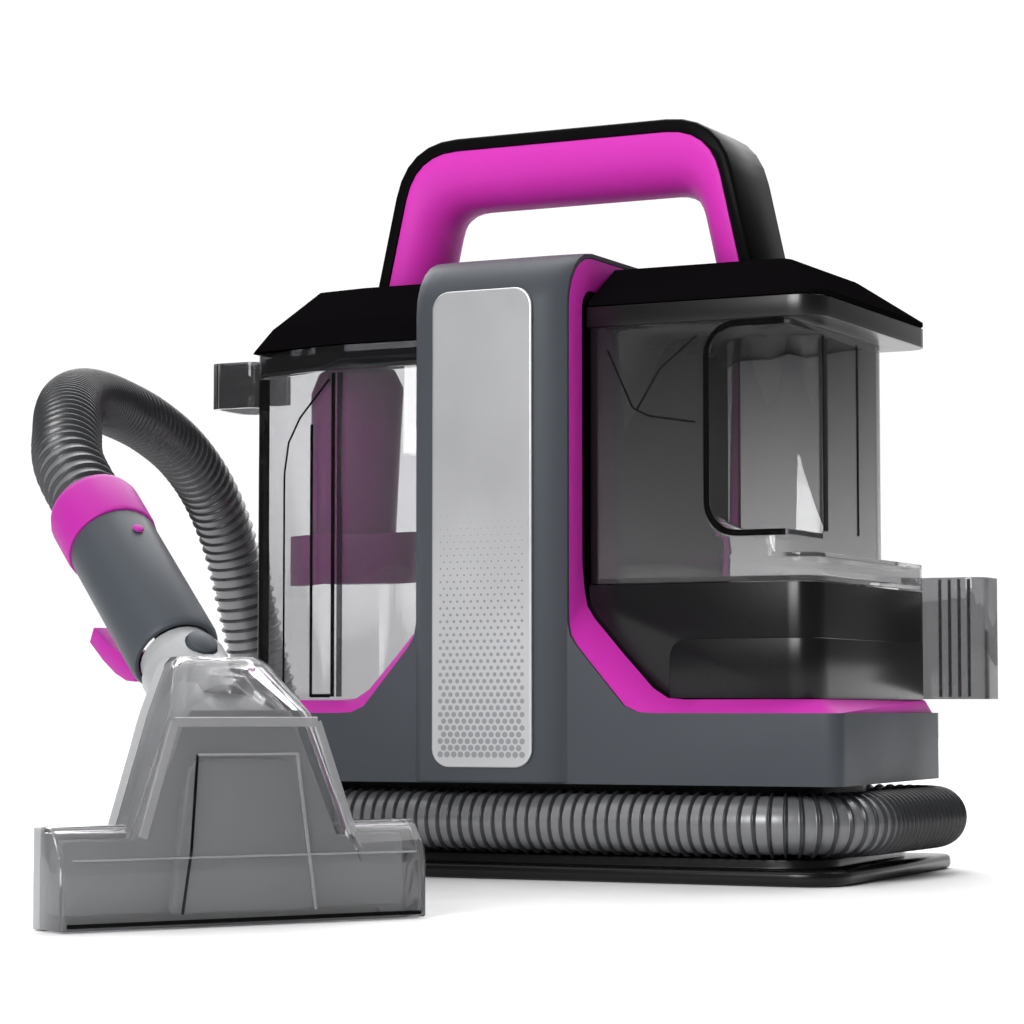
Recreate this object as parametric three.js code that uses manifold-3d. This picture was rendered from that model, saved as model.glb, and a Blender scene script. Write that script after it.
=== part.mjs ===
// Portable spot extractor: a column-shaped body between two tanks, on a base that stores the hose,
// with the spray handset standing in front of it at the end of the hose.
// Millimetres, +Z up. The origin is on the ground, in the middle of the base. The front faces -Y.
import * as THREE from 'three';
import { mergeVertices } from 'three/addons/utils/BufferGeometryUtils.js';
import Module from 'manifold-3d';

const wasm = await Module();
wasm.setup();

// ---- driving dimensions -------------------------------------------------------------------------
const GAP = 0.3; // clearance between pieces that touch
const WALL = 2.5; // moulded wall

const BASE = { front: 100.5, halfFront: 175, halfRear: 157, bottom: 45, deck: 76, lip: 78 };
const FOOT = {
  halfFront: 173, halfRear: 163, front: 100, lip: 7, step: 11.6, padRadius: 11, padThick: 1.4,
};
const COLUMN = { half: 40.2, plateHalf: 26, face: 109, corner: 28, top: 298, skin: 2.3 };
const BADGE = { half: 26.4, bottom: 52.5, top: 278.5, corner: 9 };
const HOUSING = { inner: 42, outer: 156, half: 80, bottom: 76.3, top: 138.4 };
const TANK = { inner: 42, outer: 156.5, half: 78, bottom: 139, rimBottom: 261.5, rimTop: 271.2 };
const DIRTY = { outer: 154, bottom: 77, top: 248.5, lidTop: 260.6 };
const COVER = { lip: 274, top: 293 };
const HANDLE = {
  foot: 293.3, top: 370.4, halfFoot: 104.4, halfTop: 87, depth: 52, rim: 6.4, legBand: 19, barBand: 28.5,
};
const HOSE = { radius: 15, level: 27, left: -166, front: -90, right: 169.5, rear: 85 };
const TOOL = { x: 53.1, y: -410.6, turn: 60, lean: 38.8 };
const NOZZLE = { front: -8, footBack: 9, depth: 7, halfWidth: 77, wall: 2.2 };
const GRIP = { neck: 47, grip: 73, collar: 25, radius: 18.2, root: { y: 15.9, z: 70.7 } };

// ---- materials ----------------------------------------------------------------------------------
const finish = (color, roughness, opacity = 1) => new THREE.MeshStandardMaterial({
  color, roughness, metalness: 0, opacity, transparent: opacity < 1,
});
const GRAY = finish(0x45494e, 0.5);
const BLACK = finish(0x0b0b0c, 0.25);
const MAGENTA = finish(0xd935b8, 0.45);
const LIGHT_GRAY = finish(0x9fa0a2, 0.4);
const SMOKED = finish(0x1a1a1c, 0.08, 0.5);
const CLEAR = finish(0xb9babc, 0.06, 0.35);
const RUBBER = finish(0x1b1b1c, 0.85);
const HOSE_GRAY = finish(0x77797c, 0.4);
const SILVER = new THREE.MeshStandardMaterial({ color: 0xc4c6c8, roughness: 0.35, metalness: 0.9 });
const STEEL = new THREE.MeshStandardMaterial({ color: 0x9a9da1, roughness: 0.3, metalness: 1 });

// ---- shape helpers ------------------------------------------------------------------------------
const vec = (x, y, z) => new THREE.Vector3(x, y, z);

/** A closed outline through points [x, y, corner radius], with its corners rounded. */
function outline(points) {
  const shape = new THREE.Shape();
  const count = points.length;
  points.forEach(([x, y, radius = 0], i) => {
    const before = points[(i + count - 1) % count];
    const after = points[(i + 1) % count];
    const corner = new THREE.Vector2(x, y);
    const start = new THREE.Vector2(before[0] - x, before[1] - y).setLength(radius).add(corner);
    const end = new THREE.Vector2(after[0] - x, after[1] - y).setLength(radius).add(corner);
    if (i === 0) shape.moveTo(start.x, start.y);
    else shape.lineTo(start.x, start.y);
    if (radius > 0) shape.quadraticCurveTo(x, y, end.x, end.y);
  });
  shape.closePath();
  return shape;
}

const rectangle = (x0, y0, x1, y1, radius = 0) => outline([
  [x0, y0, radius], [x1, y0, radius], [x1, y1, radius], [x0, y1, radius],
]);

/** An outline in X and Y, raised from z0 to z1. */
function prismZ(shape, z0, z1, bevel = 0, curveSegments = 4) {
  const geometry = new THREE.ExtrudeGeometry(shape, {
    depth: z1 - z0 - 2 * bevel, curveSegments, bevelEnabled: bevel > 0, bevelThickness: bevel,
    bevelSize: bevel, bevelOffset: -bevel, bevelSegments: 2,
  });
  return geometry.translate(0, 0, z0 + bevel);
}

/** An outline in X and Z, running from y0 to y1. */
function prismY(shape, y0, y1, bevel = 0, curveSegments = 4) {
  return prismZ(shape, -y1, -y0, bevel, curveSegments).rotateX(Math.PI / 2);
}

/** An outline in Y and Z, running from x0 to x1. */
function prismX(shape, x0, x1, bevel = 0, curveSegments = 4) {
  const turn = new THREE.Matrix4().makeBasis(vec(0, 1, 0), vec(0, 0, 1), vec(1, 0, 0));
  return prismZ(shape, x0, x1, bevel, curveSegments).applyMatrix4(turn);
}

/** A solid through closed rings of the same number of points, with both ends capped. */
function loft(rings) {
  const count = rings[0].length;
  const positions = rings.flat().flatMap((p) => [p.x, p.y, p.z]);
  const faces = [];
  for (let r = 0; r + 1 < rings.length; r += 1) {
    for (let i = 0; i < count; i += 1) {
      const j = (i + 1) % count;
      const [a, b, c, d] = [r * count + i, r * count + j, (r + 1) * count + j, (r + 1) * count + i];
      faces.push([a, b, c], [a, c, d]);
    }
  }
  const cap = (ring, first, flip) => {
    const normal = new THREE.Vector3();
    ring.forEach((p, i) => normal.add(p.clone().cross(ring[(i + 1) % count])));
    normal.normalize();
    const u = ring[1].clone().sub(ring[0]).normalize();
    const v = normal.clone().cross(u);
    const flat = ring.map((p) => new THREE.Vector2(p.dot(u), p.dot(v)));
    THREE.ShapeUtils.triangulateShape(flat, []).forEach(([a, b, c]) => {
      faces.push(flip ? [first + c, first + b, first + a] : [first + a, first + b, first + c]);
    });
  };
  cap(rings[0], 0, true);
  cap(rings[rings.length - 1], (rings.length - 1) * count, false);
  const geometry = new THREE.BufferGeometry();
  geometry.setAttribute('position', new THREE.Float32BufferAttribute(positions, 3));
  geometry.setIndex(faces.flat());
  return facingOut(geometry);
}

/** The same closed geometry with its faces pointing out. */
function facingOut(geometry) {
  const { array } = geometry.attributes.position;
  const index = Array.from(geometry.index.array);
  const at = (i) => vec(array[3 * i], array[3 * i + 1], array[3 * i + 2]);
  let volume = 0;
  for (let i = 0; i < index.length; i += 3) {
    volume += at(index[i]).dot(at(index[i + 1]).cross(at(index[i + 2])));
  }
  if (volume < 0) geometry.setIndex(index.reverse());
  return geometry;
}

/** A round bar along a curve. */
function tube(curve, radius, sides, steps) {
  const section = new THREE.Shape();
  section.absarc(0, 0, radius, 0, 2 * Math.PI, false);
  return new THREE.ExtrudeGeometry(section, {
    steps, extrudePath: curve, curveSegments: sides / 2, bevelEnabled: false,
  });
}

/** An upright turned piece from [radius, height] points, starting and ending on the axis. */
const turned = (profile, sides = 24) => new THREE.LatheGeometry(
  profile.map(([r, z]) => new THREE.Vector2(r, z)), sides,
).rotateX(Math.PI / 2);

// ---- joining and cutting ------------------------------------------------------------------------
function solid(geometry) {
  const bare = geometry.clone();
  bare.deleteAttribute('normal');
  bare.deleteAttribute('uv');
  const merged = mergeVertices(bare, 1e-4);
  const triangles = [];
  for (let i = 0; i < merged.index.count; i += 3) {
    const [a, b, c] = [0, 1, 2].map((k) => merged.index.getX(i + k));
    if (a !== b && b !== c && a !== c) triangles.push(a, b, c);
  }
  return new wasm.Manifold(new wasm.Mesh({
    numProp: 3,
    vertProperties: merged.attributes.position.array,
    triVerts: Uint32Array.from(triangles),
  }));
}

function surface(manifold) {
  const { vertProperties, triVerts } = manifold.getMesh();
  const geometry = new THREE.BufferGeometry();
  geometry.setAttribute('position', new THREE.BufferAttribute(vertProperties, 3));
  geometry.setIndex(new THREE.BufferAttribute(triVerts, 1));
  geometry.computeVertexNormals();
  return geometry;
}

/** The first geometry with the others cut away. */
const cut = (body, ...tools) => surface(
  tools.reduce((left, tool) => left.subtract(solid(tool)), solid(body)),
);

const join = (...bodies) => surface(bodies.map(solid).reduce((sum, body) => sum.add(body)));

const common = (a, b) => surface(solid(a).intersect(solid(b)));

const model = new THREE.Group();

function add(name, geometry, material, parent = model) {
  const mesh = new THREE.Mesh(geometry, material);
  mesh.name = name;
  parent.add(mesh);
  return mesh;
}

// ---- foot plate, pads and the core that the hose is wound on ------------------------------------
const trapezoid = (halfFront, halfRear, front, rear, frontRadius, rearRadius) => outline([
  [-halfFront, -front, frontRadius], [halfFront, -front, frontRadius],
  [halfRear, rear, rearRadius], [-halfRear, rear, rearRadius],
]);

function makeFoot() {
  const plate = join(
    prismZ(trapezoid(FOOT.halfFront, FOOT.halfRear, FOOT.front, FOOT.front - 2, 24, 12), 0, FOOT.lip, 2),
    prismZ(trapezoid(162, 146, 88, 87, 30, 30), 2, FOOT.step),
  );
  const pockets = [];
  const disc = (radius, height) => new THREE.CylinderGeometry(radius, radius, height, 20)
    .rotateX(Math.PI / 2).translate(0, 0, height / 2);
  [['left', -1], ['right', 1]].forEach(([side, sx]) => {
    [['front', -1], ['rear', 1]].forEach(([end, sy]) => {
      const place = (geometry, z = 0) => geometry.translate(sx * 132, sy * 72, z);
      pockets.push(place(disc(FOOT.padRadius + GAP, FOOT.padThick + GAP + 1), -1));
      add(`foot_pad_${end}_${side}`, place(disc(FOOT.padRadius, FOOT.padThick)), RUBBER);
    });
  });
  add('foot_plate', cut(plate, ...pockets), BLACK);
  const core = trapezoid(147, 135, 72, 66, 36, 36);
  const hollow = trapezoid(143, 131, 68, 62, 32, 32);
  const ring = cut(
    prismZ(core, FOOT.step + GAP, BASE.bottom - GAP), prismZ(hollow, 0, BASE.bottom + 1),
  );
  add('hose_core', ring, BLACK);
}

// ---- base and column ----------------------------------------------------------------------------
/** The side view of the column's outer surface, standing `face` mm in front, set in by `inset`. */
function archProfile(face, inset, foot) {
  const turnY = BASE.front - COLUMN.corner;
  const turnZ = COLUMN.top - COLUMN.corner;
  const rise = COLUMN.corner - inset;
  const steps = 6;
  const bend = (reach, side) => Array.from({ length: steps + 1 }, (unused, i) => {
    const angle = (i / steps) * (Math.PI / 2);
    return [side * (turnY + reach * Math.cos(angle)), turnZ + rise * Math.sin(angle)];
  });
  const front = bend(face - inset - turnY, -1);
  const rear = bend(BASE.front - inset - turnY, 1).reverse();
  return [[-face + inset, foot], ...front, ...rear, [BASE.front - inset, foot]];
}

/** The column: an arch from the front of the base over the top to the rear, with a proud face. */
function columnSolid() {
  const wall = 3;
  const stations = [
    [-COLUMN.half, BASE.front], [-37.5, 103.4], [-33.5, 106], [-COLUMN.plateHalf, 108.3],
    [-18, COLUMN.face], [18, COLUMN.face], [COLUMN.plateHalf, 108.3], [33.5, 106], [37.5, 103.4],
    [COLUMN.half, BASE.front],
  ];
  const inner = archProfile(BASE.front, wall, BASE.bottom + 1).reverse();
  const rings = stations.map(([x, face]) => (
    [...archProfile(face, 0, BASE.bottom + 1), ...inner].map(([y, z]) => vec(x, y, z))
  ));
  return loft(rings);
}

/** Half of the border between grey and magenta, from the base's end up to the column's side. */
const BORDER = [
  // [border x, border z, tank-side x, tank-side z]
  [84, BASE.lip, 92, 84.3],
  [76, 78.4, 83.5, 85],
  [69, 81.3, 76, 89.6],
  [55, 97.4, 60, 106.6],
  [44.5, 109.6, 45.8, 122.6],
  [41.4, 114.6, 42, 128.6],
  [COLUMN.half, 121, 40.6, 136],
];

function flarePlate(inset, y0, y1) {
  const side = BORDER.map(([x, z]) => [x - inset, z - inset]);
  const points = [
    ...side, [COLUMN.half - inset, 150],
    [-COLUMN.half + inset, 150], ...side.slice().reverse().map(([x, z]) => [-x, z]),
    [-100, BASE.lip - inset], [-100, BASE.bottom + 2], [100, BASE.bottom + 2],
    [100, BASE.lip - inset],
  ];
  return prismY(outline(points), y0, y1);
}

/** The base seen from above, set in by `inset`. */
const basePlan = (inset) => trapezoid(
  BASE.halfFront - inset, BASE.halfRear - inset, BASE.front - inset, BASE.front - inset,
  10 - 0.6 * inset, 16 - 0.6 * inset,
);

function makeBody() {
  const tub = prismZ(basePlan(0), BASE.bottom, BASE.lip);
  // the deck is set down inside the skin, and open at the left end for the recovery tank
  const setDown = join(
    prismZ(basePlan(COLUMN.skin), BASE.deck, BASE.deck + 10),
    prismZ(rectangle(-200, -HOUSING.half - 2, -150, HOUSING.half + 2), BASE.deck, BASE.deck + 10),
  );
  const cavity = prismZ(basePlan(3), BASE.bottom + 3, BASE.deck - 3);
  const mouth = new THREE.BoxGeometry(66, 150, 20).translate(0, 0, BASE.deck);
  const skinFront = BASE.front - COLUMN.skin;
  const plates = [-1, 1].map((side) => flarePlate(
    0, Math.min(side * skinFront, side * BASE.front), Math.max(side * skinFront, side * BASE.front),
  ));
  const backing = [-1, 1].map((side) => flarePlate(2.2, side < 0 ? -98.5 : 82, side < 0 ? -82 : 98.5));
  const arch = columnSolid();
  // the arch's sides are set in behind its skin, which leaves a seat for the magenta trim
  const seatProfile = outline(archProfile(BASE.front, COLUMN.skin, BASE.bottom));
  const seats = [-1, 1].map((side) => {
    const x0 = side * (COLUMN.half - 2.2);
    const x1 = side * (COLUMN.half + 5);
    return cut(
      prismX(seatProfile, Math.min(x0, x1), Math.max(x0, x1)),
      new THREE.BoxGeometry(400, 400, 2 * 97),
    );
  });
  const frame = cut(join(cut(tub, setDown), arch, ...plates, ...backing), ...seats);
  const interior = prismX(outline(archProfile(BASE.front, 3.4, BASE.deck - 3)), -37.5, 37.5);
  add('body_shell', cut(frame, cavity, mouth, interior), GRAY);
}

/** The magenta trim of one side: base ledge, diagonal, column edge, over the top and down the back. */
function makeTrim(name, side) {
  const front = BASE.front - COLUMN.skin - GAP;
  const rear = 82;
  const thick = 1.9;
  const ring = (points) => points.map(([x, y, z]) => vec(side * x, y, z));
  const ledge = (endX, sy) => {
    const rows = [[endX, BASE.lip, endX, 84.3], ...BORDER];
    return rows.map(([bx, bz, tx, tz]) => {
      const innerX = bz < 79 ? bx : bx - thick;
      const innerZ = bz < 79 ? BASE.deck + GAP : bz - thick;
      return ring([
        [bx, sy * front, bz], [tx, sy * rear, tz],
        [innerX, sy * rear, innerZ], [innerX, sy * front, innerZ],
      ]);
    });
  };
  const edge = archProfile(BASE.front, COLUMN.skin + GAP, 150);
  const deep = archProfile(BASE.front, 18, 150);
  const arch = edge.map(([y, z], i) => ring([
    [COLUMN.half, y, z], [COLUMN.half - 0.6, deep[i][0], deep[i][1]],
    [COLUMN.half - thick, deep[i][0], deep[i][1]], [COLUMN.half - thick, y, z],
  ]));
  const strip = loft([...ledge(100, -1), ...arch, ...ledge(100, 1).reverse()]);
  add(name, join(strip, makeEndLedge(side)), MAGENTA);
}

/** The sloping magenta ledge round one end of the base, up to the housing or tank that stands there. */
function makeEndLedge(side) {
  const at = (shape, z) => shape.getPoints(4).slice(0, -1).map(({ x, y }) => vec(x, y, z));
  const inset = COLUMN.skin + GAP;
  const foot = basePlan(inset);
  const { outer, half } = HOUSING;
  const head = trapezoid(outer + 1.5, outer + 0.5, 82, 82, 10, 14);
  const frustum = loft([at(foot, BASE.deck + GAP), at(foot, BASE.lip), at(head, 84.3)]);
  const reach = half + 1.6;
  // the housing stands inside the right ledge; the left end stays open for the recovery tank
  const stands = side > 0
    ? rectangle(-200, -reach, outer + 0.4, reach, 13)
    : rectangle(-200, -reach, 200, reach);
  const middle = new THREE.BoxGeometry(2 * 98, 400, 400);
  const otherEnd = new THREE.BoxGeometry(400, 400, 400).translate(-side * 200, 0, 0);
  return cut(frustum, prismZ(stands, 0, 100, 0, 5), middle, otherEnd);
}

function makeBadge() {
  const plate = rectangle(-BADGE.half, BADGE.bottom, BADGE.half, BADGE.top, BADGE.corner);
  add('badge_plate', prismY(plate, -COLUMN.face - 1.5, -COLUMN.face - GAP, 0.4), SILVER);
}

// ---- core with motor, fan and pump --------------------------------------------------------------
function makeCore() {
  const box = prismZ(rectangle(-37.2, -80, 37.2, 80, 3), BASE.deck + GAP, 276);
  const hollow = prismZ(rectangle(-34.7, -77.5, 34.7, 77.5, 2), 0, 300);
  add('core_housing', cut(box, hollow), BLACK);
  add('motor_can', turned([
    [0, 196], [31, 196], [31, 244], [27, 252], [8, 252], [8, 256], [0, 256],
  ]), STEEL);
  const bladeCount = 9;
  const blades = Array.from({ length: bladeCount }, (unused, i) => (
    new THREE.BoxGeometry(22, 1.6, 13).translate(17.5, 0, 179).rotateZ((i * 2 * Math.PI) / bladeCount)
  ));
  const disc = turned([[0, 185], [30, 185], [30, 187], [5, 187], [5, 193], [0, 193]]);
  add('fan_impeller', join(disc, turned([[0, 172], [9, 172], [9, 186], [0, 186]]), ...blades), LIGHT_GRAY);
  const volute = turned([
    [14, 166], [33.5, 166], [33.5, 190], [32, 190], [32, 168], [14, 168], [14, 166],
  ]);
  add('fan_shroud', volute, BLACK);
  const pump = join(
    prismZ(rectangle(-20, -32, 20, 32, 6), 84, 122, 2),
    turned([[0, 120], [12, 120], [12, 140], [0, 140]]),
  );
  add('water_pump', pump, BLACK);
}

// ---- right side: pump housing and clean water tank ----------------------------------------------
function makeRightHousing() {
  const { inner, outer, half, bottom, top } = HOUSING;
  const shell = prismZ(
    outline([[inner, -half], [outer, -half, 14], [outer, half, 12], [inner, half]]), bottom, top, 0, 5,
  );
  const hollow = prismZ(
    outline([[inner + 3, -half + 3], [outer - 3, -half + 3, 11], [outer - 3, half - 3, 9],
      [inner + 3, half - 3]]), bottom - 5, top - 3,
  );
  // the housing gives way to the flare of the base
  const flare = trimClearance(1);
  add('pump_housing', cut(shell, hollow, ...flare), BLACK);
  const panelOuter = outline([
    [84, -half - 1.8], [outer + 1.8, -half - 1.8, 15], [outer + 1.8, 66], [outer + 0.3, 66],
    [outer + 0.3, -half - 0.3, 14], [84, -half - 0.3],
  ]);
  const face = prismY(
    outline([[84, 84.8], [170, 84.8], [170, 112.5], [84, 112.5, 10]]), -200, 100, 0, 5,
  );
  add('filter_panel', common(prismZ(panelOuter, 70, 120, 0, 5), face), BLACK);
}

/** Wedges that follow the magenta ledge, for cutting the housings and tanks clear of it. */
function trimClearance(side) {
  const points = [
    [20, 70], [200, 70], [200, 84.8], ...BORDER.map(([, , x, z]) => [x + 0.5, z + 0.5]), [41.2, 300],
    [20, 300],
  ].map(([x, z]) => [side * x, z]);
  const shape = outline(side < 0 ? points.reverse() : points);
  const deep = 40.4;
  return [-120, 79.6].map((y) => prismY(shape, y, y + deep));
}

const TANK_PLAN = (inset) => outline([
  [TANK.inner + inset, -TANK.half + inset], [TANK.outer - inset, -TANK.half + inset, 14 - inset],
  [TANK.outer - inset, TANK.half - inset, 12 - inset], [TANK.inner + inset, TANK.half - inset],
]);
const GRIP_POCKET = { left: 103, bottom: 163, top: 258, side: 142, back: -32 };

/** The finger pocket in the tank's front corner, grown by `grow`. */
function gripPocket(grow) {
  const { left, bottom, top, side, back } = GRIP_POCKET;
  const face = prismY(
    rectangle(left - grow, bottom - grow, 190, top + grow, 14), -95, 20, 0, 5,
  );
  const region = new THREE.Shape();
  region.moveTo(left - grow, -95);
  region.lineTo(left - grow, -TANK.half + 6 + grow);
  region.quadraticCurveTo(left + 4, back - 4 + grow, side - 8, back + grow);
  region.lineTo(190, back + grow);
  region.lineTo(190, -95);
  region.closePath();
  return common(face, prismZ(region, 150, 270, 0, 6));
}

function makeCleanTank() {
  const middle = (inset) => outline([
    [TANK.inner + inset, -TANK.half + inset], [GRIP_POCKET.side - inset, -TANK.half + inset, 10],
    [GRIP_POCKET.side - inset, 50, 6], [131 - inset, TANK.half - inset, 6],
    [TANK.inner + inset, TANK.half - inset],
  ]);
  const base = prismZ(TANK_PLAN(0), TANK.bottom, 152, 0, 5);
  const rim = prismZ(TANK_PLAN(-1.5), TANK.rimBottom, TANK.rimTop, 0, 5);
  const body = prismZ(middle(0), 151, 262, 0, 5);
  const outer = cut(join(base, body, rim), gripPocket(0));
  const cavity = join(
    prismZ(TANK_PLAN(WALL), TANK.bottom + WALL, 150, 0, 5),
    cut(prismZ(middle(WALL), 149, 275, 0, 5), gripPocket(WALL)),
  );
  add('clean_tank', cut(outer, cavity), SMOKED);
  const lid = cut(
    prismZ(middle(WALL + GAP), 262.5, 265.5), gripPocket(WALL + GAP),
  );
  add('clean_tank_lid', lid, BLACK);
  const cap = turned([[0, 265.8], [15, 265.8], [15, 270.4], [0, 270.4]]).translate(80, 20, 0);
  add('clean_tank_cap', cap, MAGENTA);
}

// ---- left side: recovery tank with its float ----------------------------------------------------
const SEPARATOR = { x: -113.5, y: -32, radius: 21.4, capRadius: 31.8 };

const DIRTY_PLAN = (inset) => outline([
  [-TANK.inner - inset, -TANK.half + inset], [-TANK.inner - inset, TANK.half - inset],
  [-DIRTY.outer + inset, TANK.half - inset, 12], [-DIRTY.outer + inset, -62 + inset, 8],
  [-101 + inset * 0.3, -TANK.half + inset, 6],
]);

function makeDirtyTank() {
  const outer = prismZ(DIRTY_PLAN(0), DIRTY.bottom, DIRTY.top, 0, 5);
  const cavity = prismZ(DIRTY_PLAN(WALL), DIRTY.bottom + 3, DIRTY.top + 5, 0, 5);
  add('recovery_tank', cut(outer, cavity, ...trimClearance(-1)), CLEAR);
  const rim = cut(
    prismZ(DIRTY_PLAN(-0.6), DIRTY.top + GAP, DIRTY.lidTop, 0, 5),
    prismZ(DIRTY_PLAN(2), DIRTY.top - 1, DIRTY.lidTop - 3, 0, 5),
  );
  add('recovery_tank_lid', cut(rim, ...trimClearance(-1)), SMOKED);
  const { x, y, radius, capRadius } = SEPARATOR;
  const tower = turned([
    [0, 158], [radius, 158], [radius, 238], [radius - 4, 247], [radius - 12, 252], [0, 253.5],
  ], 28).translate(x, y, 0);
  add('separator_tower', tower, MAGENTA);
  const cup = turned([
    [0, 142], [capRadius, 142], [capRadius, 167], [radius + 1.2, 167], [radius + 1.2, 145.5],
    [0, 145.5],
  ], 28).translate(x, y, 0);
  add('float_cup', cup, MAGENTA);
  const riser = cut(
    prismZ(rectangle(-66, -46, -48, -14, 6), 80.4, 252),
    prismZ(rectangle(-64, -44, -50, -16, 4.5), 83, 260),
  );
  add('suction_riser', riser, LIGHT_GRAY);
}

// ---- top covers and carrying handle -------------------------------------------------------------
function makeCovers() {
  // three outlines of each cover, from its lower edge over its brow to its flat top
  const rightEdge = [
    [41.5, -80], [143, -80], [153, -76], [158.5, -66], [158.5, 68], [153, 77], [143, 80], [41.5, 80],
  ];
  const plans = {
    right: {
      lower: rightEdge,
      brow: rightEdge,
      upper: [
        [41.5, -50], [126, -50], [130, -48], [132, -44], [132, 44], [130, 48], [126, 50], [41.5, 50],
      ],
    },
    left: {
      lower: [
        [41.5, -80], [101, -80], [151, -69], [157.5, -60], [157.5, 66], [152, 76], [143, 80], [41.5, 80],
      ],
      brow: [
        [41.5, -80], [93, -80], [143, -61], [149, -54], [149, 58], [144, 68], [136, 72], [41.5, 72],
      ],
      upper: [
        [41.5, -50], [98, -50], [126, -45], [128, -41], [128, 44], [126, 48], [122, 50], [41.5, 50],
      ],
    },
  };
  [['right', 1, 271.6], ['left', -1, 261]].forEach(([name, side, bottom]) => {
    const { lower, brow, upper } = plans[name];
    const ring = (points, z, inset) => points.map(([x, y]) => {
      const dx = x > 42 ? -inset : inset;
      return vec(side * (x + dx), y - Math.sign(y) * inset, z);
    });
    const outer = loft([ring(lower, bottom, 0), ring(brow, COVER.lip, 0), ring(upper, COVER.top, 0)]);
    const inner = loft([
      ring(lower, bottom - 2, 2), ring(brow, COVER.lip - 1.5, 2), ring(upper, COVER.top - 3, 2),
    ]);
    add(`top_cover_${name}`, cut(outer, inner), BLACK);
  });
}

/** The handle's border, set in by `leg` at its sides and `bar` at its top, running down to `foot`. */
function handleBorder(leg, bar, radius, foot) {
  const { top, halfFoot, halfTop } = HANDLE;
  const slope = (halfFoot - halfTop) / (top - HANDLE.foot);
  const halfAt = (z) => halfFoot - leg - slope * (z - HANDLE.foot);
  const head = top - bar;
  return [
    [halfAt(foot), foot], [halfAt(head), head, radius], [-halfAt(head), head, radius],
    [-halfAt(foot), foot],
  ];
}

function makeHandle() {
  const { foot, depth, rim, legBand, barBand } = HANDLE;
  const shell = cut(
    prismY(outline(handleBorder(0, 0, 29, foot)), -depth / 2, depth / 2, 2, 6),
    prismY(outline(handleBorder(rim, rim, 24, foot - 5)), -depth, depth, 0, 6),
  );
  add('handle_shell', shell, BLACK);
  // the soft liner: flat against the shell, with its finger side rounded from front to rear
  const half = depth / 2 - 0.6;
  const steps = 8;
  const section = [[0, -half], ...Array.from({ length: steps + 1 }, (unused, i) => {
    const angle = (i / steps) * Math.PI;
    return [0.16 + 0.84 * Math.sin(angle), -half * Math.cos(angle)];
  }), [0, half]];
  const lines = section.map(([share]) => {
    const [leg, bar] = [rim + GAP + share * legBand, rim + GAP + share * barBand];
    return outline(handleBorder(leg, bar, 24 - 10 * share, foot)).getPoints(6).slice(0, -1);
  });
  const rings = lines[0].map((unused, i) => (
    lines.map((line, k) => vec(line[i].x, section[k][1], line[i].y))
  ));
  add('handle_liner', loft(rings), MAGENTA);
}

// ---- hooks --------------------------------------------------------------------------------------
function makeHooks() {
  const loop = cut(
    prismZ(rectangle(-184, -60, -DIRTY.outer - 1, -22, 8), 234, 257.5, 0, 5),
    prismZ(rectangle(-181, -57, -DIRTY.outer - 3.5, -25, 6), 230, 260, 0, 5),
  );
  add('hose_hook', loop, SMOKED);
  const hook = new THREE.Shape();
  hook.moveTo(140, 80.4);
  hook.lineTo(175, 80.4);
  hook.quadraticCurveTo(185, 80.4, 185, 90);
  hook.lineTo(185, 102);
  hook.lineTo(181.5, 102);
  hook.lineTo(181.5, 91);
  hook.quadraticCurveTo(181.5, 84, 174, 84);
  hook.lineTo(140, 84);
  hook.closePath();
  add('tool_holder', prismZ(hook, 84.8, 146, 0, 6), SMOKED);
}

// ---- rear of the column: switch, inlet and exhaust ----------------------------------------------
function makeRear() {
  const y = BASE.front + GAP;
  const slots = Array.from({ length: 9 }, (unused, i) => (
    prismY(rectangle(-22, 150 + i * 8, 22, 153.5 + i * 8, 1.7), y - 1, y + 6)
  ));
  add('exhaust_grille', cut(prismY(rectangle(-28, 142, 28, 224, 8), y, y + 2, 0.5), ...slots), BLACK);
  add('switch_bezel', cut(
    prismY(rectangle(-16, 234, 16, 262, 5), y, y + 3, 0.6),
    prismY(rectangle(-11.5, 237.5, 11.5, 258.5, 2), y - 1, y + 6),
  ), BLACK);
  const back = y + 1.3;
  const rocker = outline([
    [back, 238.2], [back + 4, 238.2], [back + 2.6, 248], [back + 4, 257.8], [back, 257.8],
  ]);
  add('power_switch', prismX(rocker, -11, 11), MAGENTA);
  add('power_inlet', cut(
    prismY(rectangle(-15, 88, 15, 112, 6), y, y + 7, 0.8),
    prismY(rectangle(-10, 93, 10, 107, 4), y + 1.5, y + 12),
  ), BLACK);
}

// ---- hose ---------------------------------------------------------------------------------------
/** The stored turn, from its port on the left side round the front and the right to the rear. */
function wrapCurve() {
  const path = new THREE.CurvePath();
  const at = (x, y) => vec(x, y, HOSE.level);
  const corner = (a, c, b) => path.add(new THREE.QuadraticBezierCurve3(at(...a), at(...c), at(...b)));
  const straight = (a, b) => path.add(new THREE.LineCurve3(at(...a), at(...b)));
  const { left, front, right, rear } = HOSE;
  straight([left, 0], [left, -42]);
  corner([left, -42], [left, front], [-118, front]);
  straight([-118, front], [120, front]);
  corner([120, front], [right, front], [right, -42]);
  straight([right, -42], [right, 38]);
  corner([right, 38], [right, rear], [120, rear]);
  straight([120, rear], [-62, rear]);
  return path;
}

/** The free stretch, from the rear of the base round its left side and up in an arch to the handset. */
const FREE_ROUTE = [
  [-62.5, 85, 27], [-100, 85, 27], [-134, 82.5, 27], [-163, 71, 29.5], [-185, 52, 43],
  [-197.5, 37, 66], [-203, 25, 97], [-206, 13, 134], [-207.5, -1, 169], [-207, -23, 195],
  [-204, -53, 212.5], [-198.5, -92, 223.5], [-189, -138, 228.5], [-172, -183, 227],
  [-150, -227, 221], [-126, -267, 212], [-103, -301, 200], [-81.5, -330, 182],
  [-58.6, -346.1, 161.5],
];

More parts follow.
